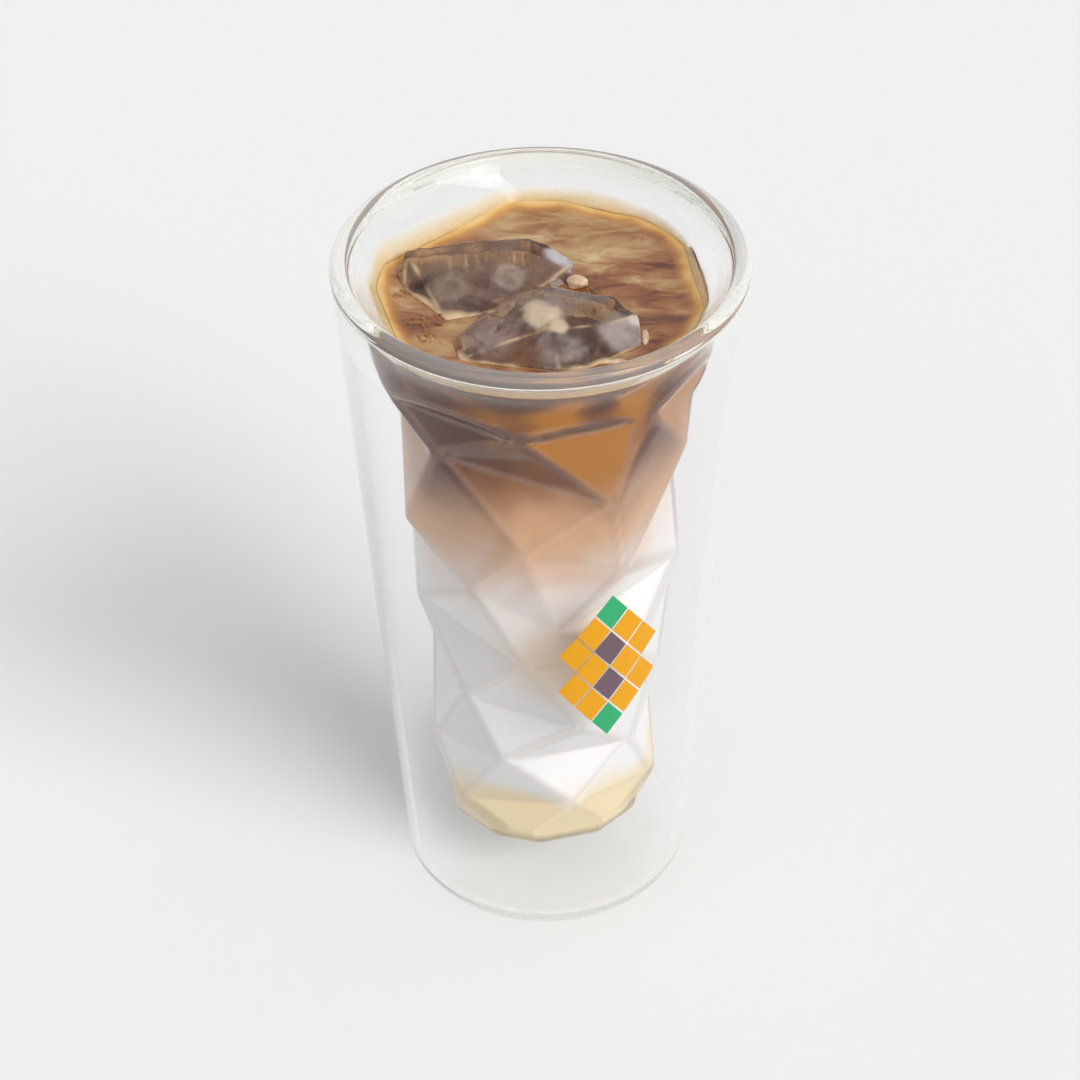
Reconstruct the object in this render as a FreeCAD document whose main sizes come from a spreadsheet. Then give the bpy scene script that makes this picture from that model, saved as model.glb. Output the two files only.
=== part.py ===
"""Iced coffee in a double-walled tumbler.

One glass: a plain conical skin and a faceted inner vessel, joined at the lip, with air sealed
between them. In the vessel lie syrup, milk, a blended band and coffee, and two blocks of ice
stand out of the coffee. Millimetres, +Z up, origin at the middle of the base.
"""
import FreeCAD, Part
import math
import os
import Sketcher
from FreeCAD import Vector

SIZES = {
    # The skin
    "glass_height": 149.3,
    "rim_radius": 40.0,
    "base_radius": 29.4,
    "heel_round": 4.0,
    "skin_wall": 2.0,
    "base_floor": 2.6,
    "room_round": 2.2,
    "seal_depth": 3.4,
    # The lip, and the flare that leads from it to the neck
    "lip_wall": 2.5,
    "lip_round": 1.15,
    "neck_depth": 15.8,
    "flare_reach": 8.5,
    "flare_angle": 38.0,
    # The vessel
    "vessel_wall": 1.8,
    "vessel_floor": 2.5,
    "vessel_lift": 13.5,
    # The facets: rows of corners, and how far a corner strays from an even pattern
    "facet_rows": 9.0,
    "facet_corners": 6.0,
    "facet_depth": 8.3,
    "facet_rise": 10.0,
    "facet_turn": 45.0,
    "corner_proud": 1.3,
    "brim_proud": 4.6,
    "foot_radius": 20.8,
    "floor_radius": 17.8,
    "crown_reach": 24.0,
    "stray_turn": 7.0,
    "stray_lift": 2.6,
    "stray_push": 0.9,
    # The drink
    "fill_depth": 8.7,
    "coffee_band": 35.6,
    "blend_band": 19.0,
    "syrup_band": 12.0,
    # The ice
    "ice_proud": 2.8,
    "ice_height": 21.0,
    "ice_width": 18.5,
    "ice_length": 33.0,
    "ice_taper": 0.74,
    "ice_stray": 1.2,
    "ice_gap": 1.6,
}

# Corners moulded away from the pattern, as (row, column): (turn in degrees, lift)
MOULDED = {
    (0, 0): (-6.0, 0.0), (0, 1): (-11.0, 1.0), (0, 3): (6.0, -1.0), (0, 4): (-5.0, -4.0), (0, 5): (-5.0, 1.0),
    (1, 3): (5.0, -0.7), (1, 4): (7.0, 1.3), (1, 5): (-6.0, 3.3),
    (2, 3): (0.0, 6.6), (2, 4): (12.0, -1.4), (2, 5): (-7.0, 1.6),
    (3, 4): (8.0, 1.9), (3, 5): (-10.0, -6.1),
    (4, 3): (15.0, 4.2), (4, 4): (-9.0, -4.8),
}

# How far the flare's cutter runs past the rim, so that it cuts clean through
OVERRUN = 2.0

doc = FreeCAD.newDocument("iced_coffee")
sheet = doc.addObject("Spreadsheet::Sheet", "Sizes")
for line, (alias, number) in enumerate(SIZES.items(), start=1):
    sheet.set(f"A{line}", alias)
    sheet.set(f"B{line}", str(number))
    sheet.setAlias(f"B{line}", alias)
doc.recompute()


def size(alias):
    """One driving dimension, read from the sheet."""
    return float(getattr(sheet, alias))


def bind(thing, **rules):
    """Bind properties of a document object to expressions on the sheet."""
    for prop, rule in rules.items():
        thing.setExpression(prop, rule)


def part_object(kind, name, **rules):
    """A Part object with its sizes bound to the sheet."""
    thing = doc.addObject(kind, name)
    bind(thing, **rules)
    return thing


def boolean(kind, name, base, tool):
    """A Part::Cut or Part::Common of two objects."""
    thing = doc.addObject(kind, name)
    thing.Base = base
    thing.Tool = tool
    doc.recompute()
    return thing


def feature(name, shape):
    """An object that holds a shape made with Part's functions."""
    thing = doc.addObject("Part::Feature", name)
    thing.Shape = shape
    thing.Placement = FreeCAD.Placement()
    return thing


def rounded(name, base, radius, picks):
    """Fillet the circular edges of base whose (height, radius) picks accepts."""
    doc.recompute()
    edges = []
    for number, edge in enumerate(base.Shape.Edges, start=1):
        if isinstance(edge.Curve, Part.Circle) and picks(edge.Curve.Center.z, edge.Curve.Radius):
            edges.append((number, radius, radius))
    thing = doc.addObject("Part::Fillet", name)
    thing.Base = base
    thing.Edges = edges
    doc.recompute()
    return thing


# The skin and the room inside it are cones that share the wall's slope.
SLOPE = "(Sizes.rim_radius - Sizes.base_radius) / Sizes.glass_height"
skin_cone = part_object("Part::Cone", "SkinCone", Radius1="Sizes.base_radius",
                        Radius2="Sizes.rim_radius", Height="Sizes.glass_height")
room_cone = part_object(
    "Part::Cone", "RoomCone",
    Radius1=f"Sizes.base_radius - Sizes.skin_wall + {SLOPE} * Sizes.base_floor",
    Radius2=f"Sizes.rim_radius - Sizes.skin_wall - {SLOPE} * Sizes.seal_depth",
    Height="Sizes.glass_height - Sizes.seal_depth - Sizes.base_floor")
room_cone.setExpression("Placement.Base.z", "Sizes.base_floor")
skin = rounded("Skin", skin_cone, size("heel_round"), lambda level, radius: level < 0.01)
room = rounded("Room", room_cone, size("room_round"),
               lambda level, radius: abs(level - size("base_floor")) < 0.01)


def envelope(name, floor_rule, wall_rule):
    """Turned body inside the vessel's wall, or round it: a straight neck that bends into the flare."""
    body = doc.addObject("PartDesign::Body", name)
    sketch = body.newObject("Sketcher::SketchObject", name + "Profile")
    sketch.AttachmentSupport = [(next(plane for plane in body.Origin.OriginFeatures
                                      if plane.Role == "XZ_Plane"), "")]
    sketch.MapMode = "FlatFace"

    # A first guess near the solution, which the solver then makes exact.
    lean = math.radians(size("flare_angle"))
    neck = size("rim_radius") - size("lip_wall") - size("flare_reach") + size("vessel_wall") / 2
    level = size("glass_height") - size("neck_depth")
    bend = (size("neck_depth") * math.tan(lean) - size("flare_reach")) / (1 / math.cos(lean) - 1)
    centre = Vector(neck + bend, level, 0)
    bend_end = centre + bend * Vector(-math.cos(lean), math.sin(lean), 0)
    top = size("glass_height") + OVERRUN
    top_end = Vector(bend_end.x + (top - bend_end.y) * math.tan(lean), top, 0)
    low = size("vessel_lift")
    circle = Part.Circle(centre, Vector(0, 0, 1), bend)
    floor, side, arc, flare, lid, axis = sketch.addGeometry([
        Part.LineSegment(Vector(0, low, 0), Vector(neck, low, 0)),
        Part.LineSegment(Vector(neck, low, 0), Vector(neck, level, 0)),
        Part.ArcOfCircle(circle, math.pi - lean, math.pi),
        Part.LineSegment(bend_end, top_end),
        Part.LineSegment(top_end, Vector(0, top, 0)),
        Part.LineSegment(Vector(0, top, 0), Vector(0, low, 0)),
    ])
    mouth = "Sizes.rim_radius - Sizes.lip_wall"
    rules = {
        ("DistanceY", -1, 1, floor, 1): floor_rule,
        ("DistanceX", -1, 1, side, 2): f"{mouth} - Sizes.flare_reach + {wall_rule}",
        ("DistanceY", -1, 1, side, 2): "Sizes.glass_height - Sizes.neck_depth",
        ("DistanceY", -1, 1, flare, 2): f"Sizes.glass_height + {OVERRUN}",
        ("DistanceX", -1, 1, flare, 2): f"{mouth} + {wall_rule} / cos(Sizes.flare_angle)"
                                        f" + {OVERRUN} * tan(Sizes.flare_angle)",
    }
    sketch.addConstraint([
        Sketcher.Constraint("Coincident", floor, 2, side, 1),
        Sketcher.Constraint("Tangent", side, 2, arc, 2),
        Sketcher.Constraint("Tangent", arc, 1, flare, 1),
        Sketcher.Constraint("Coincident", flare, 2, lid, 1),
        Sketcher.Constraint("Coincident", lid, 2, axis, 1),
        Sketcher.Constraint("Coincident", axis, 2, floor, 1),
        Sketcher.Constraint("PointOnObject", floor, 1, -2),
        Sketcher.Constraint("Horizontal", floor),
        Sketcher.Constraint("Vertical", side),
        Sketcher.Constraint("Horizontal", lid),
        Sketcher.Constraint("Vertical", axis),
    ])
    points = {(side, 2): Vector(neck, level, 0), (flare, 2): top_end, (floor, 1): Vector(0, low, 0)}
    for (kind, origin, origin_end, line, end), rule in rules.items():
        guess = points[(line, end)]
        value = guess.x if kind == "DistanceX" else guess.y
        number = sketch.addConstraint(Sketcher.Constraint(kind, origin, origin_end, line, end, value))
        sketch.setExpression(f"Constraints[{number}]", rule)
    number = sketch.addConstraint(Sketcher.Constraint("Angle", flare, math.pi / 2 - lean))
    sketch.setExpression(f"Constraints[{number}]", "90 - Sizes.flare_angle")
    doc.recompute()

    turned = body.newObject("PartDesign::Revolution", name + "Turned")
    turned.Profile = sketch
    turned.ReferenceAxis = (sketch, ["V_Axis"])
    turned.Angle = 360.0
    body.Tip = turned
    doc.recompute()
    return body


cavity_round = envelope("CavityRound", "Sizes.vessel_lift + Sizes.vessel_floor", "0")
vessel_round = envelope("VesselRound", "Sizes.vessel_lift", "Sizes.vessel_wall")

CORNERS = int(size("facet_corners"))
ROWS = int(size("facet_rows"))
NECK = size("rim_radius") - size("lip_wall") - size("flare_reach")
FLOOR = size("vessel_lift") + size("vessel_floor")


def stray(row, column, phase):
    """A repeatable unevenness between -1 and 1 for one corner of the lattice."""
    return math.sin(2.4 * column + 1.7 * row + phase)


def facet_corner(row, column, wall, floor):
    """Place of one lattice corner, wall outside the cavity's; row -1 is the crown over the neck."""
    half = 360.0 / CORNERS
    turn = size("facet_turn") + half * (column - 0.5 * (row % 2))
    top = size("glass_height") - size("facet_depth")
    foot = FLOOR + size("facet_rise")
    pitch = (top - foot) / (ROWS - 1)
    share = row / (ROWS - 1)
    if row < 0:
        radius, level = NECK + size("crown_reach"), top + pitch
    elif row == ROWS:
        radius, level = size("floor_radius"), floor
    else:
        radius = (1 - share) * (NECK + size("corner_proud")) + share * size("foot_radius")
        if row == 0:
            radius = NECK + size("brim_proud")
        radius += size("stray_push") * stray(row, column, 0.4)
        level = top - row * pitch
        extra_turn = size("stray_turn") * stray(row, column, 2.0)
        extra_lift = size("stray_lift") * stray(row, column, 4.1) if row else 0.0
        extra_turn, extra_lift = MOULDED.get((row, column % CORNERS), (extra_turn, extra_lift))
        turn += extra_turn
        level += extra_lift
    radius += wall / math.cos(math.pi / CORNERS)
    angle = math.radians(turn)
    return Vector(radius * math.cos(angle), radius * math.sin(angle), level)


def solid_of(triangles):
    """Closed solid of flat triangles."""
    faces = [Part.Face(Part.makePolygon([a, b, c, a])) for a, b, c in triangles]
    shell = Part.makeShell(faces)
    shell.sewShape()
    solid = Part.makeSolid(shell)
    if solid.Volume < 0:
        solid.reverse()
    return solid


def facets(wall, floor):
    """Crumpled body of flat triangles between rings of corners, each ring turned half a step."""
    rings = [[facet_corner(row, column, wall, floor) for column in range(CORNERS)]
             for row in range(-1, ROWS + 1)]
    triangles = []
    for row, (upper, lower) in enumerate(zip(rings, rings[1:]), start=-1):
        for column in range(CORNERS):
            after = (column + 1) % CORNERS
            if row % 2 == 0:
                triangles.append((upper[column], lower[column], lower[after]))
                triangles.append((upper[column], lower[after], upper[after]))
            else:
                triangles.append((upper[column], lower[column], upper[after]))
                triangles.append((upper[after], lower[column], lower[after]))
    for ring in (rings[0][::-1], rings[-1]):
        hub = sum(ring, Vector()) / CORNERS
        for column in range(CORNERS):
            triangles.append((hub, ring[(column + 1) % CORNERS], ring[column]))
    return solid_of(triangles)


def ice_block(centre, turn, tilt, phase):
    """Melted-looking block: a box whose corners stray and whose top is crowned to a ridge."""
    grid = (-0.5, 0.0, 0.5)
    length, width, height = size("ice_length"), size("ice_width"), size("ice_height")
    frame = FreeCAD.Placement(centre, FreeCAD.Rotation(turn, tilt, 0.0))

    def corner(i, j, k):
        edge = (abs(grid[i]) + abs(grid[j]) + abs(grid[k])) / 1.5
        worn = 1.08 - 0.16 * edge
        spread = worn * (size("ice_taper") + (1 - size("ice_taper")) * k / 2)
        place = Vector(grid[i] * length * spread, grid[j] * width * spread, grid[k] * height * worn)
        drift = [size("ice_stray") * math.sin(3.1 * i + 1.9 * j + 2.3 * k + phase + axis)
                 for axis in range(3)]
        return frame.multVec(place + Vector(*drift))

    triangles = []
    for side in (0, 2):
        for a in range(2):
            for b in range(2):
                ring = [(a, b), (a + 1, b), (a + 1, b + 1), (a, b + 1)]
                for spot in (lambda p, q: (side, p, q), lambda p, q: (q, side, p),
                             lambda p, q: (p, q, side)):
                    quad = [corner(*spot(p, q)) for p, q in ring]
                    if side == 0:
                        quad.reverse()
                    triangles.append((quad[0], quad[1], quad[2]))
                    triangles.append((quad[0], quad[2], quad[3]))
    return solid_of(triangles)


# The glass
cavity = boolean("Part::Common", "Cavity", cavity_round, feature("FacetsInside", facets(0.0, FLOOR)))
vessel = boolean("Part::Common", "Vessel", vessel_round,
                 feature("FacetsOutside", facets(size("vessel_wall"), size("vessel_lift"))))
air = boolean("Part::Cut", "SealedAir", room, vessel)
open_skin = boolean("Part::Cut", "OpenSkin", skin, cavity)
walls = boolean("Part::Cut", "Walls", open_skin, air)
glass = rounded("glass", walls, size("lip_round"),
                lambda level, radius: abs(level - size("glass_height")) < 0.01)

# The ice, which floats in the coffee with its top proud of the surface
FILL = size("glass_height") - size("fill_depth")
ICE_LEVEL = FILL + size("ice_proud") - size("ice_height") / 2
ICE_STEP = (size("ice_width") + size("ice_gap")) / 2
ice_back = feature("ice_back", ice_block(Vector(-9.0, ICE_STEP - 5.0, ICE_LEVEL), 5.0, 4.0, 0.6))
ice_front = feature("ice_front", ice_block(Vector(1.5, -ICE_STEP - 4.1, ICE_LEVEL - 0.8), 2.0, -3.0, 2.9))


def layer(name, bottom, depth):
    """The part of the cavity's filling between two levels."""
    slab = part_object("Part::Cylinder", name + "_slab", Radius="Sizes.rim_radius", Height=depth)
    slab.setExpression("Placement.Base.z", bottom)
    return boolean("Part::Common", name, cavity, slab)


FLOOR_RULE = "Sizes.vessel_lift + Sizes.vessel_floor"
FILL_RULE = "Sizes.glass_height - Sizes.fill_depth"
syrup = layer("syrup", FLOOR_RULE, "Sizes.syrup_band")
milk = layer("milk", f"{FLOOR_RULE} + Sizes.syrup_band",
             f"{FILL_RULE} - Sizes.coffee_band - Sizes.blend_band - ({FLOOR_RULE}) - Sizes.syrup_band")
blend = layer("blend", f"{FILL_RULE} - Sizes.coffee_band - Sizes.blend_band", "Sizes.blend_band")
coffee_full = layer("coffee_full", f"{FILL_RULE} - Sizes.coffee_band", "Sizes.coffee_band")
coffee_notched = boolean("Part::Cut", "coffee_notched", coffee_full, ice_back)
coffee = boolean("Part::Cut", "coffee", coffee_notched, ice_front)

SUBPARTS = [glass, coffee, blend, milk, syrup, ice_back, ice_front]
doc.recompute()
for thing in doc.Objects:
    if any(word in ("Invalid", "Error") for word in thing.State):
        raise RuntimeError(f"{thing.Name} failed: {thing.State}")
os.makedirs("parts", exist_ok=True)
for thing in SUBPARTS:
    shape = thing.Shape
    if shape.isNull() or not shape.isValid() or len(shape.Solids) != 1:
        raise RuntimeError(f"{thing.Label} isn't one valid solid")
    print(thing.Label, round(shape.Volume / 1000.0, 2), "cm3")
    shape.exportStep(f"parts/{thing.Label}.step")
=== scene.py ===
"""Iced coffee in a double-walled tumbler: finishes, drink, ice, print and stage."""
import math
import random

import bmesh
import bpy
import numpy as np
from bpy.props import FloatProperty, FloatVectorProperty, IntProperty, PointerProperty
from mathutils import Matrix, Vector, noise
from mathutils.bvhtree import BVHTree


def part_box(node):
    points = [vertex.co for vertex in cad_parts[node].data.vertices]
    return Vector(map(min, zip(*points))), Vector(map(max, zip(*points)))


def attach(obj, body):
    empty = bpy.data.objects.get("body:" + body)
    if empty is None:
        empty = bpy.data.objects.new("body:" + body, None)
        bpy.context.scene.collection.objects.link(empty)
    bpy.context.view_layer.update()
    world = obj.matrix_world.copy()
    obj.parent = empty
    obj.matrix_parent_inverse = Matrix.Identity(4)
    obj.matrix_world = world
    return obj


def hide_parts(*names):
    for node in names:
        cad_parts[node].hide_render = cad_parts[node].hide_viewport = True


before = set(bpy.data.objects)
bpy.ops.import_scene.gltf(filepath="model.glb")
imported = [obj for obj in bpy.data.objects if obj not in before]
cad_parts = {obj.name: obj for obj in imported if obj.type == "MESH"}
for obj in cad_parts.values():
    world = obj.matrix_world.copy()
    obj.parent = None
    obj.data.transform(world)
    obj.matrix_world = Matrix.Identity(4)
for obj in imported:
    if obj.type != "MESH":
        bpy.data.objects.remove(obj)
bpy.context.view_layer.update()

bl_info = {
    "name": "Iced Coffee",
    "version": (1, 0, 0),
    "blender": (4, 5, 0),
    "location": "3D View > Sidebar > Iced Coffee",
    "description": "Builds an iced coffee in a double-walled faceted tumbler",
    "category": "Add Mesh",
}

MM = 0.001
AROUND = 216  # columns round the axis on every turned surface
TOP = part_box("glass")[1].z
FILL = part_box("coffee")[1].z
COFFEE_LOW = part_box("coffee")[0].z
BLEND_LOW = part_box("blend")[0].z
MILK_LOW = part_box("milk")[0].z
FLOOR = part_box("syrup")[0].z


def linear(text):
    """A colour written as sRGB hex, as linear red, green and blue."""
    channels = [int(text[i:i + 2], 16) / 255 for i in (1, 3, 5)]
    return tuple(c / 12.92 if c <= 0.04045 else ((c + 0.055) / 1.055) ** 2.4 for c in channels)


def colour(name, text, description):
    """A colour property with an sRGB hex default."""
    return FloatVectorProperty(name=name, description=description, subtype="COLOR", size=3,
                               min=0.0, max=1.0, default=linear(text))


def length(name, millimetres, description):
    """A length property with its default in millimetres."""
    return FloatProperty(name=name, description=description, subtype="DISTANCE", unit="LENGTH",
                         min=0.0, default=millimetres * MM)


# ---------------------------------------------------------------- sizes and colours

class GlassSettings(bpy.types.PropertyGroup):
    row_step: length("Row step", 0.8, "Height between rings of the faceted walls")
    facet_round: FloatProperty(name="Facet rounding", description="Softness of the moulded edges, in rows",
                               default=0.6, min=0.0)
    lip_height: length("Lip height", 1.25, "Height of the fire-polished lip above the walls")
    foot_round: length("Foot rounding", 2.4, "Rounding at the foot of the inner vessel")
    heel_round: length("Heel rounding", 4.2, "Rounding where the outer wall meets the base")
    room_round: length("Room rounding", 2.2, "Rounding at the foot of the sealed room")
    tint: colour("Tint", "#FEFEFE", "Colour of light that passes one surface")


class DrinkSettings(bpy.types.PropertyGroup):
    reach: length("Reach", 0.12, "How far the drink reaches into the glass wall, so that no air shows")
    meniscus: length("Meniscus", 1.1, "How far the drink climbs the wall")
    meniscus_width: length("Meniscus width", 1.5, "How far from the wall the climb fades out")
    ripple: length("Ripple", 0.16, "Unevenness of the drink's surface")
    pocket: length("Pocket", 5.5, "Depth of drink pushed away under each block of ice")
    coffee: colour("Coffee", "#7F4C22", "Milky coffee at the top")
    # Painted light and shade: the dark coffee is the shaded end and the amber coffee the lit end of the
    # facets' painted shading, which also wanders at random.
    shaded_coffee: colour("Dark coffee", "#5A2E18", "Coffee with the least milk")
    amber: colour("Amber coffee", "#A5691C", "Coffee where light comes through it")
    tan: colour("Tan", "#D2A47E", "Coffee running into the milk")
    milk: colour("Milk", "#EAE8E7", "White milk")
    syrup: colour("Syrup", "#EBD7AE", "Sweet syrup at the foot")
    tide: length("Tide", 2.2, "Height of the film left on the glass above the drink")
    bubbles: IntProperty(name="Bubbles", description="Bubbles on the surface", default=150, min=0)


class IceSettings(bpy.types.PropertyGroup):
    voxel: length("Voxel", 0.33, "Size of the cells that the blocks are remeshed with")
    melt: length("Melt", 0.3, "Depth of the dimples that melting leaves")
    cloud: colour("Cloud", "#6E5548", "Milky film and cloud in the ice")


class EnamelSettings(bpy.types.PropertyGroup):
    tile_width: length("Tile width", 7.0, "Width of one diamond of the print")
    tile_height: length("Tile height", 9.6, "Height of one diamond of the print")
    thickness: length("Thickness", 0.08, "How far the enamel stands off the glass")
    heading: FloatProperty(name="Heading", description="Where the print's middle is, round the axis",
                           subtype="ANGLE", default=math.radians(291.5))
    level: length("Level", 75.0, "Height of the print's middle")
    amber: colour("Amber", "#E09C00", "Main enamel")
    green: colour("Green", "#2FA56A", "Second enamel")
    plum: colour("Plum", "#6B5560", "Third enamel")


class StageSettings(bpy.types.PropertyGroup):
    floor: colour("Floor", "#F1F1F1", "Pale matt surface under the glass")
    key: FloatProperty(name="Key", description="Strength of the wide key light", default=2.2)
    key_angle: FloatProperty(name="Key angle", description="Width of the key light as seen from the glass",
                             subtype="ANGLE", default=math.radians(34))
    sky: FloatProperty(name="Sky", description="Strength of the light from all round", default=0.56)


# ---------------------------------------------------------------- reading the frame

def merged_tree(node):
    """A ray-castable copy of a CAD node's mesh."""
    mesh = bmesh.new()
    mesh.from_mesh(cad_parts[node].data)
    bmesh.ops.remove_doubles(mesh, verts=mesh.verts, dist=1e-6)
    tree = BVHTree.FromBMesh(mesh)
    mesh.free()
    return tree


def crossings(tree, origin, direction):
    """Distances from origin at which a ray crosses the tree's faces."""
    start, found = origin.copy(), []
    while True:
        hit = tree.ray_cast(start, direction)[0]
        if hit is None:
            return found
        found.append((hit - origin).length)
        start = hit + direction * 1e-5


ANGLES = (np.arange(AROUND) + 0.4) * 2 * math.pi / AROUND
CIRCLE = [Vector((math.cos(a), math.sin(a), 0)) for a in ANGLES]


def survey(tree, height, count, columns=range(AROUND)):
    """Radii of the walls that a level cuts, outwards, by column; count is how many walls there are."""
    radii = np.full((count, AROUND), np.nan)
    for column in columns:
        found = crossings(tree, Vector((0, 0, height)), CIRCLE[column])
        if len(found) == count:
            radii[:, column] = found
    good = ~np.isnan(radii[0])
    for wall in radii:
        wall[~good] = np.interp(ANGLES[~good], ANGLES[good], wall[good], period=2 * math.pi)
    return radii


def softened(radii, sigma):
    """Gaussian blur of a map of rows by columns, closed round the axis."""
    reach = int(3 * sigma) + 1
    steps = np.arange(-reach, reach + 1)
    weights = np.exp(-0.5 * (steps / sigma) ** 2)
    weights /= weights.sum()
    padded = np.pad(radii, ((reach, reach), (0, 0)), mode="edge")
    rows = sum(w * padded[reach + s:reach + s + len(radii)] for w, s in zip(weights, steps))
    return sum(w * np.roll(rows, s, axis=1) for w, s in zip(weights, steps))


class Walls:
    """Levels and wall radii of the glass, read from its CAD node once."""

    def __init__(self):
        settings = bpy.context.scene.coffee_glass
        tree = merged_tree("glass")
        # Straight down the axis: the drink's floor, the vessel's underside, and the sealed room's floor.
        down = crossings(tree, Vector((0, 0, TOP)), Vector((0, 0, -1)))
        self.cavity_floor, self.vessel_floor, self.room_floor = [TOP - d for d in down[:3]]
        # The seal is the first level below the lip at which most directions cross four surfaces.
        level = TOP - 2 * MM
        while sum(len(crossings(tree, Vector((0, 0, level)), d)) == 4 for d in CIRCLE[::18]) < 10:
            level -= 0.05 * MM
        self.seal = level
        self.lip = TOP - settings.lip_height
        rows = int((self.seal - self.cavity_floor) / settings.row_step)
        self.rows = np.linspace(self.cavity_floor + 0.2 * MM, self.seal - 0.3 * MM, rows)
        walls = np.array([survey(tree, z, 4) for z in self.rows])
        self.cavity = softened(walls[:, 0], settings.facet_round)
        self.vessel = softened(walls[:, 1], settings.facet_round)
        # How far the cavity wall stands off its own blur; it places the painted ridge highlight on the drink.
        self.ridge_highlight = np.abs(self.cavity - softened(self.cavity, 1.2))
        # The turned walls are the same all round, so that every ninth column is enough for them.
        some = range(0, AROUND, 9)
        self.flare_rows = np.linspace(self.seal, self.lip, 5)[1:]
        self.flare = np.array([survey(tree, z, 2, some)[0].max() for z in self.flare_rows])
        heel = [settings.heel_round * (1 - math.cos(t)) for t in np.linspace(0.08, math.pi / 2, 9)]
        above = settings.heel_round + 0.4 * MM
        self.skin_rows = np.array(heel + list(np.linspace(above, self.lip, 16)))
        self.skin = np.array([max(crossings(tree, Vector((0, 0, z)), CIRCLE[c])[-1] for c in some)
                              for z in self.skin_rows])
        bend = settings.room_round
        low = [self.room_floor + bend * (1 - math.cos(t)) for t in np.linspace(0.12, math.pi / 2, 7)]
        low += list(np.linspace(self.room_floor + bend + 0.4 * MM, self.vessel_floor - 0.5 * MM, 4))
        high = slice(5, None, 12)
        self.room_rows = np.concatenate((low, self.rows[high]))
        beside = [survey(tree, z, 2, some)[0].max() for z in low]
        self.room = np.concatenate((beside, walls[high, 2].max(axis=1)))

    def cavity_at(self, height):
        """Cavity radii round the axis at any height above its floor."""
        rows = np.concatenate((self.rows, self.flare_rows))
        radii = np.vstack((self.cavity, np.repeat(self.flare[:, None], AROUND, axis=1)))
        place = np.interp(height, rows, np.arange(len(rows)))
        low = int(place)
        high = min(low + 1, len(rows) - 1)
        return radii[low] + (place - low) * (radii[high] - radii[low])


# ---------------------------------------------------------------- mesh helpers

def ring(radii, heights):
    """One ring of points from radii and heights, either of which may be one number."""
    radii = np.broadcast_to(radii, AROUND)
    heights = np.broadcast_to(heights, AROUND)
    return np.stack((radii * np.cos(ANGLES), radii * np.sin(ANGLES), heights), axis=1)


def lathe(rings, low, high, inward=False, start=0):
    """Vertices and faces of a closed body from rings that run from the pole at low to the one at high."""
    points = np.concatenate([[(0, 0, low)], np.concatenate(rings), [(0, 0, high)]])
    last = start + len(points) - 1
    after = [(c + 1) % AROUND for c in range(AROUND)]
    faces = [(start, start + 1 + after[c], start + 1 + c) for c in range(AROUND)]
    for row in range(len(rings) - 1):
        base = start + 1 + row * AROUND
        faces += [(base + c, base + after[c], base + AROUND + after[c], base + AROUND + c)
                  for c in range(AROUND)]
    base = start + 1 + (len(rings) - 1) * AROUND
    faces += [(base + c, base + after[c], last) for c in range(AROUND)]
    if inward:
        faces = [face[::-1] for face in faces]
    return points, faces


def placed(name, data):
    """A new object in the scene, at the origin."""
    thing = bpy.data.objects.new(name, data)
    bpy.context.scene.collection.objects.link(thing)
    return thing


def mesh_object(name, points, faces, materials, smooth=True):
    """A new mesh object at the origin with its place in its mesh."""
    mesh = bpy.data.meshes.new(name)
    mesh.from_pydata([tuple(p) for p in points], [], faces)
    for material in materials:
        mesh.materials.append(material)
    mesh.polygons.foreach_set("use_smooth", [smooth] * len(mesh.polygons))
    mesh.update()
    return placed(name, mesh)


def point_attribute(piece, name, values):
    """Store one number for each vertex."""
    piece.data.attributes.new(name, "FLOAT", "POINT").data.foreach_set(
        "value", np.asarray(values, dtype=np.float32))


def plain_mesh(piece):
    """Apply a piece's modifiers and leave a plain mesh."""
    graph = bpy.context.evaluated_depsgraph_get()
    mesh = bpy.data.meshes.new_from_object(piece.evaluated_get(graph))
    piece.modifiers.clear()
    piece.data = mesh
    return piece


def finish_piece(piece, slot, *nodes):
    """Every piece rides on the one body; some stand for CAD nodes."""
    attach(piece, "root")
    if nodes:
        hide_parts(*nodes)


# ---------------------------------------------------------------- materials

def add(tree, kind, inputs=None, stops=None, **settings):
    """Add one node, with its settings, its ramp stops, and its inputs as values or feeding sockets."""
    node = tree.nodes.new(kind)
    for key, value in settings.items():
        setattr(node, key, value)
    for key, value in (inputs or {}).items():
        socket = node.inputs[key]
        if isinstance(value, bpy.types.NodeSocket):
            tree.links.new(value, socket)
        elif socket.type == "RGBA":
            socket.default_value = (*value[:3], 1.0)
        else:
            socket.default_value = value
    if stops:
        elements = node.color_ramp.elements
        while len(elements) < len(stops):
            elements.new(1.0)
        for element, (place, shade) in zip(elements, stops):
            element.position = place
            element.color = (*shade, 1.0)
    return node


def new_material(name):
    """An empty node material and its tree."""
    material = bpy.data.materials.new(name)
    material.use_nodes = True
    material.node_tree.nodes.clear()
    return material, material.node_tree


def straight_through(tree, shader, clear, share=1.0):
    """Let lamps and bounced light, and light long trapped in the glass, pass a surface straight."""
    path = add(tree, "ShaderNodeLightPath").outputs
    lamps = add(tree, "ShaderNodeMath", {0: path["Is Shadow Ray"], 1: path["Is Diffuse Ray"]},
                operation="MAXIMUM")
    trapped = add(tree, "ShaderNodeMath", {0: path["Glossy Depth"], 1: 2.5}, operation="GREATER_THAN")
    passing = add(tree, "ShaderNodeMath", {0: lamps.outputs[0], 1: trapped.outputs[0]}, operation="MAXIMUM")
    partly = add(tree, "ShaderNodeMath", {0: passing.outputs[0], 1: share}, operation="MULTIPLY")
    return add(tree, "ShaderNodeMixShader", {0: partly.outputs[0], 1: shader.outputs[0], 2: clear.outputs[0]})


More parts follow.
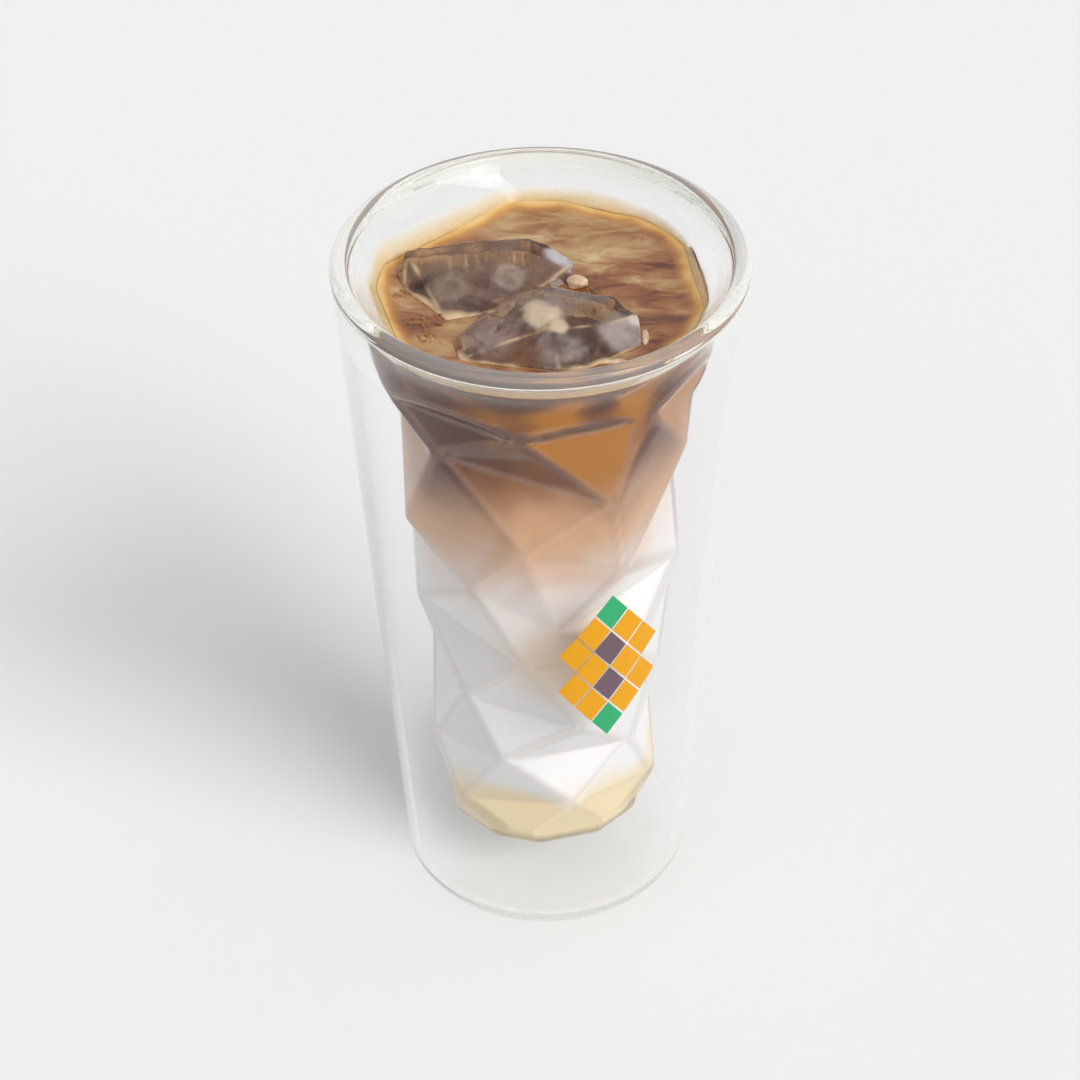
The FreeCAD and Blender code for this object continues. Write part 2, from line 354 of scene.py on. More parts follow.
def borosilicate_glass():
    """Borosilicate glass, mould-blown and fire-polished: clear, faintly mirroring, pale olive in the lip."""
    tint = bpy.context.scene.coffee_glass.tint
    material, tree = new_material("borosilicate_glass")
    lip = add(tree, "ShaderNodeAttribute", attribute_name="lip").outputs["Fac"]
    tone = add(tree, "ShaderNodeMix", {"Factor": lip, 6: tint, 7: linear("#F6F8EC")},
               data_type="RGBA").outputs[2]
    glass = add(tree, "ShaderNodeBsdfPrincipled", {
        "Base Color": tone, "Roughness": 0.0, "IOR": 1.47, "Transmission Weight": 1.0,
        "Specular Tint": (0.35, 0.35, 0.35)})
    # Painted highlight: the fire-polished bead gathers light from all round, so a share of pale diffuse white
    # is painted into the lip to make it read as a pale band.
    pale = add(tree, "ShaderNodeBsdfDiffuse", {"Color": linear("#F4F3F0")})
    share = add(tree, "ShaderNodeMapRange", {"Value": lip, "From Min": 0.1, "From Max": 0.8, "To Max": 0.24},
                interpolation_type="SMOOTHSTEP")
    bead_with_highlight = add(tree, "ShaderNodeMixShader", {0: share.outputs["Result"], 1: glass.outputs[0],
                                             2: pale.outputs[0]})
    clear = add(tree, "ShaderNodeBsdfTransparent", {"Color": tone})
    surface = straight_through(tree, bead_with_highlight, clear)
    add(tree, "ShaderNodeOutputMaterial", {"Surface": surface.outputs[0]})
    return material


def milky_drink():
    """Layered milk coffee behind glass: opaque and soft, brown over tan over white over yellow syrup."""
    drink = bpy.context.scene.coffee_drink
    material, tree = new_material("layered_milk_coffee")
    place = add(tree, "ShaderNodeTexCoord").outputs["Object"]
    facet_shade = add(tree, "ShaderNodeAttribute", attribute_name="facet_shade").outputs["Fac"]
    # Slow clouds, 25 mm across, push the layers up and down by a few millimetres.
    cloud = add(tree, "ShaderNodeTexNoise", {"Vector": place, "Scale": 38.0, "Detail": 2.0, "Roughness": 0.5,
                                             "Distortion": 0.6})
    shift = add(tree, "ShaderNodeMath", {0: cloud.outputs["Fac"], 1: 0.026, 2: -0.013},
                operation="MULTIPLY_ADD")
    axes = add(tree, "ShaderNodeSeparateXYZ", {"Vector": place})
    lifted = add(tree, "ShaderNodeMath", {0: axes.outputs["Z"], 1: shift.outputs[0]}, operation="ADD")
    # The brown reaches lower on the left.
    level = add(tree, "ShaderNodeMath", {0: axes.outputs["X"], 1: -0.12, 2: lifted.outputs[0]},
                operation="MULTIPLY_ADD")
    span = add(tree, "ShaderNodeMapRange", {"Value": level.outputs[0], "From Min": FLOOR, "From Max": FILL})
    syrup_top, milk_top, blend_top = [(z - FLOOR) / (FILL - FLOOR) for z in (MILK_LOW, BLEND_LOW, COFFEE_LOW)]
    half = tuple((a + b) / 2 for a, b in zip(drink.coffee, drink.tan))
    cream = tuple(0.35 * a + 0.65 * b for a, b in zip(drink.tan, drink.milk))
    layers = add(tree, "ShaderNodeValToRGB", {"Fac": span.outputs["Result"]}, stops=[
        (0.0, drink.syrup), (syrup_top - 0.02, drink.syrup), (syrup_top + 0.03, drink.milk),
        (milk_top - 0.06, drink.milk), (milk_top + 0.04, cream), (blend_top - 0.03, drink.tan),
        (blend_top + 0.06, half), (blend_top + 0.13, drink.coffee), (1.0, drink.coffee)])
    # Painted shade: each moulded facet is painted lighter or darker by its facing, and the coffee is painted
    # lighter and more amber towards the right, where more light comes through.
    wisp = add(tree, "ShaderNodeTexNoise", {"Vector": place, "Scale": 75.0, "Detail": 2.0, "Distortion": 0.8})
    tone = add(tree, "ShaderNodeMath", {0: wisp.outputs["Fac"], 1: 0.7, 2: -0.35}, operation="MULTIPLY_ADD")
    tone = add(tree, "ShaderNodeMath", {0: facet_shade, 1: tone.outputs[0]}, operation="ADD")
    tone = add(tree, "ShaderNodeMath", {0: axes.outputs["X"], 1: -7.0, 2: tone.outputs[0]},
               operation="MULTIPLY_ADD")
    brown = add(tree, "ShaderNodeValToRGB", {"Fac": tone.outputs[0]}, stops=[
        (0.22, drink.amber), (0.48, drink.coffee), (0.80, drink.shaded_coffee)])
    depth = add(tree, "ShaderNodeMapRange", {"Value": level.outputs[0], "From Min": COFFEE_LOW,
                                             "From Max": COFFEE_LOW + 0.015}, interpolation_type="SMOOTHSTEP")
    coffee = add(tree, "ShaderNodeMix", {"Factor": depth.outputs["Result"], 6: layers.outputs["Color"],
                                         7: brown.outputs["Color"]}, data_type="RGBA").outputs[2]
    # A warm wisp of coffee sunk into the milk, 15 mm across, near the front.
    away = add(tree, "ShaderNodeVectorMath", {0: place, 1: (0.003, -0.021, 0.071)}, operation="DISTANCE")
    near = add(tree, "ShaderNodeMapRange", {
        "Value": away.outputs["Value"], "From Min": 0.002, "From Max": 0.017, "To Min": 0.62, "To Max": 0.0},
        interpolation_type="SMOOTHSTEP")
    sunk = add(tree, "ShaderNodeMix", {"Factor": near.outputs["Result"], 6: coffee, 7: linear("#DFB98E")},
               data_type="RGBA").outputs[2]
    # Painted highlight: the glass's moulded ridges are drawn as pale lavender lines on the drink behind them.
    ridge_highlight = add(tree, "ShaderNodeAttribute", attribute_name="ridge_highlight").outputs["Fac"]
    edge_highlight = add(tree, "ShaderNodeMapRange", {"Value": ridge_highlight, "From Min": 0.5, "From Max": 1.0, "To Max": 0.14},
               interpolation_type="SMOOTHSTEP")
    with_ridge_highlight = add(tree, "ShaderNodeMix", {"Factor": edge_highlight.outputs["Result"], 6: sunk, 7: linear("#B9A79E")},
                data_type="RGBA").outputs[2]
    # Painted shade: facets that face down are darkened a little more, those that face up brightened.
    shade = add(tree, "ShaderNodeMapRange", {"Value": facet_shade, "From Min": 0.2, "From Max": 0.8, "To Min": 1.03,
                                             "To Max": 0.86})
    final = add(tree, "ShaderNodeVectorMath", {0: with_ridge_highlight, 1: shade.outputs["Result"]}, operation="MULTIPLY")
    shader = add(tree, "ShaderNodeBsdfPrincipled", {
        "Base Color": final.outputs[0], "Roughness": 0.35, "IOR": 1.35, "Subsurface Weight": 0.12,
        "Subsurface Scale": 0.0015, "Specular IOR Level": 0.1})
    add(tree, "ShaderNodeOutputMaterial", {"Surface": shader.outputs[0]})
    return material


def coffee_surface():
    """The drink's open surface: wet, brown, with cream drawn out in swirls and a golden rim at the wall."""
    material, tree = new_material("coffee_surface")
    place = add(tree, "ShaderNodeTexCoord").outputs["Object"]
    axes = add(tree, "ShaderNodeSeparateXYZ", {"Vector": place})
    flat = add(tree, "ShaderNodeMapping", {"Vector": place, "Rotation": (0, 0, 0.2),
                                           "Scale": (0.8, 1.9, 1.0)})
    warp = add(tree, "ShaderNodeTexNoise", {"Vector": flat.outputs[0], "Scale": 60.0, "Detail": 2.0})
    bent = add(tree, "ShaderNodeVectorMath", {0: warp.outputs["Color"], 1: (0.016, 0.016, 0.0)},
               operation="MULTIPLY")
    moved = add(tree, "ShaderNodeVectorMath", {0: flat.outputs[0], 1: bent.outputs[0]}, operation="ADD")
    swirl = add(tree, "ShaderNodeTexNoise", {"Vector": moved.outputs[0], "Scale": 90.0, "Detail": 4.0,
                                             "Roughness": 0.58, "Distortion": 0.5})
    # More cream at the back, hardly any in the pool on the right.
    back = add(tree, "ShaderNodeMapRange", {"Value": axes.outputs["Y"], "From Min": -0.002, "From Max": 0.016,
                                            "To Min": 0.0, "To Max": 0.10})
    pool = add(tree, "ShaderNodeMapRange", {"Value": axes.outputs["X"], "From Min": 0.012, "From Max": 0.022,
                                            "To Min": 0.0, "To Max": -0.11})
    bias = add(tree, "ShaderNodeMath", {0: back.outputs["Result"], 1: pool.outputs["Result"]},
               operation="ADD")
    share = add(tree, "ShaderNodeMath", {0: swirl.outputs["Fac"], 1: bias.outputs[0]}, operation="ADD")
    bands = add(tree, "ShaderNodeValToRGB", {"Fac": share.outputs[0]}, stops=[
        (0.34, linear("#5E2C10")), (0.43, linear("#8A4F24")), (0.51, linear("#9C6A3C")),
        (0.58, linear("#AE8658")), (0.66, linear("#BF9F70")), (0.76, linear("#CDB58E"))])
    # The golden rim at the wall is partly the pale film there and partly painted light: the thin edge of
    # coffee, lit through from behind, is drawn pale gold fading into the brown.
    edge = add(tree, "ShaderNodeAttribute", attribute_name="edge").outputs["Fac"]
    uneven = add(tree, "ShaderNodeTexNoise", {"Vector": place, "Scale": 130.0, "Detail": 2.0})
    wander = add(tree, "ShaderNodeMath", {0: uneven.outputs["Fac"], 1: 0.3, 2: -0.15},
                 operation="MULTIPLY_ADD")
    wide = add(tree, "ShaderNodeMath", {0: edge, 1: wander.outputs[0]}, operation="ADD")
    rim = add(tree, "ShaderNodeValToRGB", {"Fac": wide.outputs[0]}, stops=[
        (0.0, linear("#E2C08A")), (0.08, linear("#DDB36C")), (0.2, linear("#BE823D")),
        (0.4, linear("#925A2A"))])
    fade = add(tree, "ShaderNodeMapRange", {"Value": wide.outputs[0], "From Min": 0.12, "From Max": 0.42},
               interpolation_type="SMOOTHSTEP")
    mixed = add(tree, "ShaderNodeMix", {"Factor": fade.outputs["Result"], 6: rim.outputs["Color"],
                                        7: bands.outputs["Color"]}, data_type="RGBA").outputs[2]
    # Painted shade: under the ice the coffee is painted deep dark brown, with painted amber glows.
    under = add(tree, "ShaderNodeAttribute", attribute_name="under").outputs["Fac"]
    under_ice_shade = add(tree, "ShaderNodeValToRGB", {"Fac": uneven.outputs["Fac"]}, stops=[
        (0.4, linear("#2E1509")), (0.52, linear("#542D12")), (0.66, linear("#8A4F16"))])
    final = add(tree, "ShaderNodeMix", {"Factor": under, 6: mixed, 7: under_ice_shade.outputs["Color"]},
                data_type="RGBA").outputs[2]
    fine = add(tree, "ShaderNodeTexNoise", {"Vector": moved.outputs[0], "Scale": 300.0, "Detail": 2.0})
    bump = add(tree, "ShaderNodeBump", {"Height": fine.outputs["Fac"], "Strength": 0.3, "Distance": 0.0003})
    shader = add(tree, "ShaderNodeBsdfPrincipled", {
        "Base Color": final, "Roughness": 0.12, "IOR": 1.35, "Subsurface Weight": 0.1,
        "Subsurface Scale": 0.001, "Normal": bump.outputs["Normal"]})
    add(tree, "ShaderNodeOutputMaterial", {"Surface": shader.outputs[0]})
    return material


def wet_ice():
    """Wet ice that has stood in milk coffee: clear amber windows between clouded facets, milk film, frost."""
    material, tree = new_material("wet_ice")
    place = add(tree, "ShaderNodeTexCoord").outputs["Object"]
    tone = add(tree, "ShaderNodeAttribute", attribute_name="tone").outputs["Color"]
    cloud = add(tree, "ShaderNodeAttribute", attribute_name="cloud").outputs["Fac"]
    fog = add(tree, "ShaderNodeTexNoise", {"Vector": place, "Scale": 260.0, "Detail": 4.0, "Distortion": 0.9})
    breakup = add(tree, "ShaderNodeMath", {0: fog.outputs["Fac"], 1: 0.7, 2: -0.35}, operation="MULTIPLY_ADD")
    share = add(tree, "ShaderNodeMath", {0: cloud, 1: breakup.outputs[0]}, operation="ADD", use_clamp=True)
    mottle = add(tree, "ShaderNodeMapRange", {"Value": fog.outputs["Fac"], "From Min": 0.3, "From Max": 0.7,
                                              "To Min": 0.86, "To Max": 1.12})
    shade = add(tree, "ShaderNodeVectorMath", {0: tone, 1: mottle.outputs["Result"]}, operation="MULTIPLY")
    dimples = add(tree, "ShaderNodeTexNoise", {"Vector": place, "Scale": 330.0, "Detail": 2.0})
    bump = add(tree, "ShaderNodeBump", {"Height": dimples.outputs["Fac"], "Strength": 0.5,
                                        "Distance": 0.0004})
    clear = add(tree, "ShaderNodeBsdfPrincipled", {
        "Base Color": linear("#F3E9E0"), "Roughness": 0.04, "IOR": 1.31, "Transmission Weight": 1.0,
        "Normal": bump.outputs["Normal"]})
    milky = add(tree, "ShaderNodeBsdfPrincipled", {
        "Base Color": shade.outputs[0], "Roughness": 0.1, "IOR": 1.31, "Subsurface Weight": 0.15,
        "Subsurface Scale": 0.001, "Normal": bump.outputs["Normal"]})
    body = add(tree, "ShaderNodeMixShader", {0: share.outputs[0], 1: clear.outputs[0], 2: milky.outputs[0]})
    passed = add(tree, "ShaderNodeBsdfTransparent", {"Color": linear("#E8DAD0")})
    surface = straight_through(tree, body, passed, 0.7)
    add(tree, "ShaderNodeOutputMaterial", {"Surface": surface.outputs[0]})
    return material


def tide_film():
    """Thin film of milk coffee left on the glass above the surface: pale gold, fading upwards."""
    material, tree = new_material("tide_film")
    place = add(tree, "ShaderNodeTexCoord").outputs["Object"]
    thick = add(tree, "ShaderNodeAttribute", attribute_name="thick").outputs["Fac"]
    patch = add(tree, "ShaderNodeTexNoise", {"Vector": place, "Scale": 190.0, "Detail": 3.0})
    blotch = add(tree, "ShaderNodeMapRange", {"Value": patch.outputs["Fac"], "From Min": 0.3, "From Max": 0.7,
                                              "To Min": 0.6, "To Max": 1.1})
    cover = add(tree, "ShaderNodeMath", {0: thick, 1: blotch.outputs["Result"]}, operation="MULTIPLY",
                use_clamp=True)
    tone = add(tree, "ShaderNodeValToRGB", {"Fac": thick}, stops=[
        (0.0, linear("#F2E8D6")), (0.5, linear("#EAD5AC")), (1.0, linear("#E2BF82"))])
    film = add(tree, "ShaderNodeBsdfPrincipled", {
        "Base Color": tone.outputs["Color"], "Roughness": 0.25, "IOR": 1.35, "Alpha": cover.outputs[0]})
    add(tree, "ShaderNodeOutputMaterial", {"Surface": film.outputs[0]})
    return material


def milk_foam():
    """Milk foam and lumps of cream: pale tan, soft, finely pitted."""
    material, tree = new_material("milk_foam")
    place = add(tree, "ShaderNodeTexCoord").outputs["Object"]
    pits = add(tree, "ShaderNodeTexNoise", {"Vector": place, "Scale": 900.0, "Detail": 3.0})
    tone = add(tree, "ShaderNodeValToRGB", {"Fac": pits.outputs["Fac"]}, stops=[
        (0.3, linear("#C2A280")), (0.5, linear("#D0B494")), (0.7, linear("#DEC9AE"))])
    bump = add(tree, "ShaderNodeBump", {"Height": pits.outputs["Fac"], "Strength": 0.4, "Distance": 0.0002})
    shader = add(tree, "ShaderNodeBsdfPrincipled", {
        "Base Color": tone.outputs["Color"], "Roughness": 0.3, "IOR": 1.35, "Subsurface Weight": 0.4,
        "Subsurface Scale": 0.001, "Normal": bump.outputs["Normal"]})
    add(tree, "ShaderNodeOutputMaterial", {"Surface": shader.outputs[0]})
    return material


def bubble_skin():
    """Thin skin of a bubble on coffee: nearly clear, with a glint and a brownish cast."""
    material, tree = new_material("bubble_skin")
    facing = add(tree, "ShaderNodeLayerWeight", {"Blend": 0.35})
    shell = add(tree, "ShaderNodeBsdfPrincipled", {
        "Base Color": linear("#C9A27A"), "Roughness": 0.05, "IOR": 1.33})
    clear = add(tree, "ShaderNodeBsdfTransparent", {"Color": linear("#F0E2D2")})
    share = add(tree, "ShaderNodeMapRange", {"Value": facing.outputs["Facing"], "To Min": 0.12,
                                             "To Max": 0.85})
    mix = add(tree, "ShaderNodeMixShader", {0: share.outputs["Result"], 1: clear.outputs[0],
                                            2: shell.outputs[0]})
    add(tree, "ShaderNodeOutputMaterial", {"Surface": mix.outputs[0]})
    return material


def enamel(name, shade):
    """Fired glass enamel, screen printed: glossy, dense, with slight unevenness in the ink."""
    material, tree = new_material(name)
    place = add(tree, "ShaderNodeTexCoord").outputs["Object"]
    ink = add(tree, "ShaderNodeTexNoise", {"Vector": place, "Scale": 900.0, "Detail": 2.0})
    spread = add(tree, "ShaderNodeMapRange", {"Value": ink.outputs["Fac"], "To Min": 0.94, "To Max": 1.04})
    tone = add(tree, "ShaderNodeVectorMath", {0: shade, 1: spread.outputs["Result"]}, operation="MULTIPLY")
    shader = add(tree, "ShaderNodeBsdfPrincipled", {
        "Base Color": tone.outputs[0], "Roughness": 0.35, "Specular IOR Level": 0.25})
    add(tree, "ShaderNodeOutputMaterial", {"Surface": shader.outputs[0]})
    return material


def matt_card():
    """Matt white card: even, with a barely visible tooth of 1 mm."""
    shade = bpy.context.scene.coffee_stage.floor
    material, tree = new_material("matt_card")
    place = add(tree, "ShaderNodeTexCoord").outputs["Object"]
    tooth = add(tree, "ShaderNodeTexNoise", {"Vector": place, "Scale": 900.0, "Detail": 2.0})
    spread = add(tree, "ShaderNodeMapRange", {"Value": tooth.outputs["Fac"], "To Min": 0.995,
                                              "To Max": 1.005})
    tone = add(tree, "ShaderNodeVectorMath", {0: shade, 1: spread.outputs["Result"]}, operation="MULTIPLY")
    shader = add(tree, "ShaderNodeBsdfPrincipled", {
        "Base Color": tone.outputs[0], "Roughness": 0.9, "Specular IOR Level": 0.1})
    add(tree, "ShaderNodeOutputMaterial", {"Surface": shader.outputs[0]})
    return material


# ---------------------------------------------------------------- pieces

def rounded_foot(radii, level, rounding):
    """Rings that turn a wall into a flat floor at level: wall to floor, over a quarter circle."""
    rings = []
    for turn in np.linspace(0, math.pi / 2, 7)[1:]:
        rings.append(ring(radii - rounding * (1 - math.cos(turn)), level + rounding * (1 - math.sin(turn))))
    flat = radii - rounding
    for share in (0.8, 0.55, 0.3, 0.12):
        rings.append(ring(flat * share, level))
    return rings


class COFFEE_OT_glass(bpy.types.Operator):
    """Build the tumbler: plain skin, rolled lip, faceted vessel and the sealed room between them"""
    bl_idname = "coffee.glass"
    bl_label = "Glass"

    def execute(self, context):
        settings = context.scene.coffee_glass
        walls = Walls()
        COFFEE_OT_glass.walls = walls
        start_foot = int(np.searchsorted(walls.rows, walls.cavity_floor + settings.foot_round))

        outside = [ring(walls.skin[0] * share, 0.0) for share in (0.3, 0.6, 0.85)]
        outside += [ring(r, z) for r, z in zip(walls.skin, walls.skin_rows)]
        outer, inner = walls.skin[-1], walls.flare[-1]
        for turn in np.linspace(0, math.pi, 15)[1:-1]:
            outside.append(ring((outer + inner) / 2 + (outer - inner) / 2 * math.cos(turn),
                                walls.lip + settings.lip_height * math.sin(turn)))
        outside += [ring(r, z) for r, z in zip(walls.flare[::-1], walls.flare_rows[::-1])]
        for row in range(len(walls.rows) - 1, start_foot - 1, -1):
            outside.append(ring(walls.cavity[row], walls.rows[row]))
        outside += rounded_foot(walls.cavity[start_foot], walls.cavity_floor, settings.foot_round)
        points, faces = lathe(outside, 0.0, walls.cavity_floor)

        room = [ring(walls.room[0] * share, walls.room_floor) for share in (0.3, 0.6, 0.85)]
        room += [ring(r, z) for r, z in zip(walls.room, walls.room_rows)]
        top_out, top_in = walls.room[-1], walls.vessel[-1]
        for turn in np.linspace(0, math.pi, 7)[1:-1]:
            room.append(ring((top_out + top_in) / 2 + (top_out - top_in) / 2 * math.cos(turn),
                             walls.seal - 0.35 * MM + 0.35 * MM * math.sin(turn)))
        for row in range(len(walls.rows) - 1, start_foot - 1, -1):
            room.append(ring(walls.vessel[row], walls.rows[row]))
        drop = walls.cavity_floor - walls.vessel_floor
        room += rounded_foot(walls.vessel[start_foot], walls.vessel_floor, settings.foot_round + drop)
        more, more_faces = lathe(room, walls.room_floor, walls.vessel_floor, inward=True, start=len(points))
        points = np.concatenate((points, more))
        piece = mesh_object("tumbler", points, faces + more_faces, [borosilicate_glass()])
        point_attribute(piece, "lip", np.clip((points[:, 2] - walls.seal) / (TOP - walls.seal), 0, 1))
        finish_piece(piece, "glass", "glass")
        return {"FINISHED"}


# Corners of the ice blocks' tops, in millimetres: across, away, and above the drink
ICE_TOPS = {
    "back": [(-26.0, 11.0, 3.0), (-14.5, 12.2, 4.3), (-2.0, 12.8, 4.5), (1.5, 10.5, 4.4), (6.6, 6.7, 2.9),
             (6.2, 3.2, 0.2), (-2.0, -1.6, 0.8), (-11.5, -7.0, 0.3), (-18.0, -8.5, 0.1), (-26.0, 2.0, 0.2),
             (-27.6, 7.5, 0.8), (-9.0, 3.4, 3.2), (-17.0, 4.0, 2.4), (2.2, 5.0, 3.0)],
    "front": [(-4.0, 0.0, 1.2), (0.8, -2.4, 3.7), (14.0, -6.4, 3.6), (18.3, -11.0, 2.6), (19.0, -17.0, 0.4),
              (9.3, -24.2, 0.3), (3.4, -25.8, 0.7), (-15.4, -21.6, 0.3), (-16.4, -15.4, 0.4),
              (-11.8, -9.0, 1.4), (1.6, -16.7, 4.0), (11.0, -15.5, 3.4), (-7.0, -13.0, 3.0),
              (-1.0, -9.0, 4.1)],
}
ICE_DEPTH = 15.0  # millimetres of ice below the surface
ICE_FOOT = 0.72   # the blocks' feet are this much smaller than their tops

# Marks in the ice: across, away and radius in millimetres, colour, and how much they cloud it.
# A share below 0 clears the ice.
ICE_MARKS = [
    # The near-black mark at (1.3, 11.6) is painted shade: the shade of a hollow at the end of the back
    # block's crest, drawn as a dark spot.
    (3.9, 7.6, 2.8, "#B5AEB2", 0.7), (1.3, 11.6, 1.7, "#22140D", 0.35), (-2.8, 7.4, 2.6, "#8E5312", -0.7),
    (9.2, -11.5, 2.6, "#7A4516", -0.5), (-22.0, 9.5, 3.4, "#5E3A20", -0.6),
    (-12.5, 8.5, 3.6, "#6B4A3A", -0.4), (-6.0, 2.0, 3.0, "#A08C80", 0.3), (0.7, -12.1, 3.9, "#CDB79B", 1.0),
    (14.5, -15.5, 4.0, "#9F918E", 0.45), (6.0, -6.0, 5.0, "#85736F", 0.4),
    (-9.0, -17.0, 4.5, "#8C776E", 0.3), (17.6, -12.4, 1.5, "#BFB7B8", 0.6),
    (4.0, -21.0, 4.0, "#95847F", 0.35), (-17.0, 0.0, 3.6, "#8E7866", 0.3),
    (3.2, -15.6, 1.8, "#C8B296", 0.8),
]


def ice_hull(corners):
    """Convex block under a list of top corners, as a bmesh in metres."""
    block = bmesh.new()
    centre = np.mean([c[:2] for c in corners], axis=0)
    for x, y, rise in corners:
        block.verts.new((x * MM, y * MM, FILL + rise * MM))
        foot = centre + ICE_FOOT * (np.array((x, y)) - centre)
        block.verts.new((foot[0] * MM, foot[1] * MM, FILL - ICE_DEPTH * MM))
    hull = bmesh.ops.convex_hull(block, input=block.verts)
    loose = {v for v in hull["geom_interior"] + hull["geom_unused"] if isinstance(v, bmesh.types.BMVert)}
    bmesh.ops.delete(block, geom=list(loose), context="VERTS")
    bmesh.ops.recalc_face_normals(block, faces=block.faces)
    return block


def crest_distance(block, places):
    """Distance in millimetres from each place to the block's nearest sharp edge above the drink."""
    nearest = np.full(len(places), np.inf)
    for edge in block.edges:
        first, second = (np.array(v.co) / MM for v in edge.verts)
        if min(first[2], second[2]) > FILL / MM and edge.calc_face_angle(0.0) > 0.2:
            along = second - first
            share = np.clip((places - first) @ along / (along @ along), 0, 1)
            gap = np.linalg.norm(places - first - share[:, None] * along, axis=1)
            nearest = np.minimum(nearest, gap)
    return nearest


def melted(piece, voxel, melt, seed):
    """Round a block's edges and dimple its faces as melting does."""
    remesh = piece.modifiers.new("cells", "REMESH")
    remesh.mode = "VOXEL"
    remesh.voxel_size = voxel
    smooth = piece.modifiers.new("worn", "SMOOTH")
    smooth.factor = 0.5
    smooth.iterations = 7
    plain_mesh(piece)
    mesh = piece.data
    places = [vertex.co.copy() for vertex in mesh.vertices]
    normals = [vertex.normal.copy() for vertex in mesh.vertices]
    # Everything is read before anything is written, because writing a place renews all the normals.
    moved = []
    for place, normal in zip(places, normals):
        spot = place / MM
        wide = noise.noise((spot + Vector((seed, 0, 0))) * 0.22)
        fine = noise.noise((spot + Vector((0, seed, 0))) * 0.6)
        moved.extend(place + normal * melt * (wide + 0.4 * fine))
    mesh.vertices.foreach_set("co", moved)
    mesh.polygons.foreach_set("use_smooth", [True] * len(mesh.polygons))
    mesh.update()


def paint_ice(piece, crest, seed):
    """Store the colour and the cloudiness of the ice at each vertex."""
    base = np.array(bpy.context.scene.coffee_ice.cloud)
    film = np.array(linear("#D2B58F"))
    tones, clouds = [], []
    marks = [(x, y, radius, np.array(linear(text)), share) for x, y, radius, text, share in ICE_MARKS]
    for vertex, gap in zip(piece.data.vertices, crest):
        spot = vertex.co / MM
        # Painted shade: each facet's tone and cloudiness follow its facing, so that the facets read as lit
        # and shaded differently.
        facet_shade = noise.noise(vertex.normal * 2.6 + Vector((seed, 0, 0)))
        patch = noise.noise(spot * 0.26 + Vector((0, 0, seed)))
        tone = base * (1.0 + 0.45 * facet_shade)
        cloud = 0.42 + 0.55 * facet_shade + 0.55 * patch
        for x, y, radius, mark, share in marks:
            away = math.hypot(spot.x - x, spot.y - y) / radius
            if away < 1.6:
                weight = 1.0 / (1.0 + math.exp((away - 1.0 + 0.5 * patch) * 9))
                tone = tone * (1 - weight) + mark * weight
                cloud += share * weight
        # Milk coffee wets the foot of each face. The pale line along the sharp edges above the drink is
        # painted highlight, in the film's colour.
        rise = spot.z - FILL / MM
        wet = max(0.0, 1.0 - max(0.0, rise - 0.15 - 0.5 * patch) / 0.5)
        edge_highlight = 0.75 * math.exp(-(gap / 0.4) ** 2) * (0.6 + patch)
        cover = min(1.0, max(0.0, wet, edge_highlight))
        tones.append((*(tone * (1 - cover) + film * cover), 1.0))
        clouds.append(min(1.2, max(0.0, cloud + 0.8 * cover)))
    point_attribute(piece, "cloud", clouds)
    colours = piece.data.attributes.new("tone", "FLOAT_COLOR", "POINT")
    colours.data.foreach_set("color", np.array(tones, dtype=np.float32).ravel())


class COFFEE_OT_ice(bpy.types.Operator):
    """Build the two blocks of ice that stand out of the coffee"""
    bl_idname = "coffee.ice"
    bl_label = "Ice"

    def execute(self, context):
        settings = context.scene.coffee_ice
        material = wet_ice()
        for seed, (name, corners) in enumerate(ICE_TOPS.items(), start=3):
            block = ice_hull(corners)
            mesh = bpy.data.meshes.new("ice_" + name)
            block.to_mesh(mesh)
            piece = placed("ice_block_" + name, mesh)
            melted(piece, settings.voxel, settings.melt, seed)
            piece.data.materials.append(material)
            places = np.array([vertex.co for vertex in piece.data.vertices]) / MM
            paint_ice(piece, crest_distance(block, places), seed)
            block.free()
            finish_piece(piece, "ice", "ice_" + name)
        return {"FINISHED"}


def ice_cover():
    """Ray-castable blocks of ice, for the pockets that they press into the drink."""
    trees = []
    for name in ICE_TOPS:
        block = bmesh.new()
        block.from_mesh(bpy.data.objects["ice_block_" + name].data)
        trees.append(BVHTree.FromBMesh(block))
        block.free()
    return trees


def covered(trees, x, y, margin):
    """How much of the spots round a place lie under ice, from 0 to 1."""
    count = 0
    for dx, dy in ((0, 0), (margin, 0), (-margin, 0), (0, margin), (0, -margin)):
        start = Vector((x + dx, y + dy, FILL - 0.4 * MM))
        for tree in trees:
            hit = tree.ray_cast(start, Vector((0, 0, 1)))[0]
            if hit is not None:
                count += 1
                break
    return count / 5


RIDGE_RISE = 0.08 * MM  # a wall that stands off its own blur by this much is a full ridge


